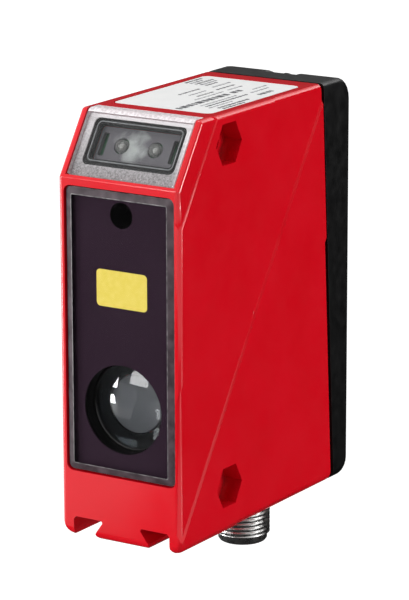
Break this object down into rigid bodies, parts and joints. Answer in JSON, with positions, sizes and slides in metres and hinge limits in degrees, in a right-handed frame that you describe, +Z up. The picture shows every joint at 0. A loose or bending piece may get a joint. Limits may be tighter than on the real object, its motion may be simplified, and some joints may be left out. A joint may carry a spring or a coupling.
{
  "type": "laser displacement sensor",
  "caption": "Slim upright laser distance sensor with a slanted lamp window, a glass front and a round threaded connector under its rear end.",
  "frame": {"origin": "middle of the underside of the dovetail lug, the face that the sensor is clamped on", "axes": "+Z up along the body, -Y out of the glass front towards the target, +X to the side with the hex nut pockets"},
  "size_m": [0.03, 0.069, 0.1019],
  "materials": {
    "red_enamel": "smooth red enamel, semi-gloss",
    "pane_glass": "clear glass over dark print",
    "clear_plastic": "clear polished plastic",
    "black_plastic": "fine moulded satin",
    "label_film": "satin film",
    "seal_rubber": "matt",
    "nickel_plate": "nickel plated, satin",
    "gold_contact": "gold plated",
    "screw_steel": "plain",
    "lens_glass": "coated optical glass",
    "filter_glass": "tinted filter glass",
    "tube_brass": "turned",
    "board_green": "circuit board with solder mask",
    "ribbon_amber": "polyimide film"
  },
  "bodies": {
    "root": {"housing": "red_enamel", "front_glass": "pane_glass", "front_seal": "seal_rubber", "indicator_window": "clear_plastic", "indicator_gasket": "seal_rubber", "indicator_tray": "black_plastic", "indicator_board": "board_green", "indicator_led_left": "clear_plastic", "indicator_led_right": "clear_plastic", "type_label": "label_film", "rear_cover": "black_plastic", "rear_gasket": "seal_rubber", "cover_screw_1": "screw_steel", "cover_screw_2": "screw_steel", "cover_screw_3": "screw_steel", "cover_screw_4": "screw_steel", "connector_shell": "nickel_plate", "connector_o_ring": "seal_rubber", "contact_carrier": "black_plastic", "contact_pin_1": "gold_contact", "contact_pin_2": "gold_contact", "contact_pin_3": "gold_contact", "contact_pin_4": "gold_contact", "contact_pin_5": "gold_contact", "receiver_barrel": "black_plastic", "receiver_lens": "lens_glass", "receiver_filter": "filter_glass", "laser_tube": "tube_brass", "collimator_lens": "lens_glass", "laser_diode": "screw_steel", "optics_carrier": "black_plastic", "line_sensor": "black_plastic", "sensor_board": "board_green", "main_board": "board_green", "board_screw_1": "screw_steel", "board_screw_2": "screw_steel", "board_screw_3": "screw_steel", "board_screw_4": "screw_steel", "processor_chip": "black_plastic", "power_inductor": "black_plastic", "power_capacitor": "screw_steel", "ribbon_socket": "label_film", "sensor_ribbon": "ribbon_amber", "connector_ribbon": "ribbon_amber"}
  },
  "joints": []
}
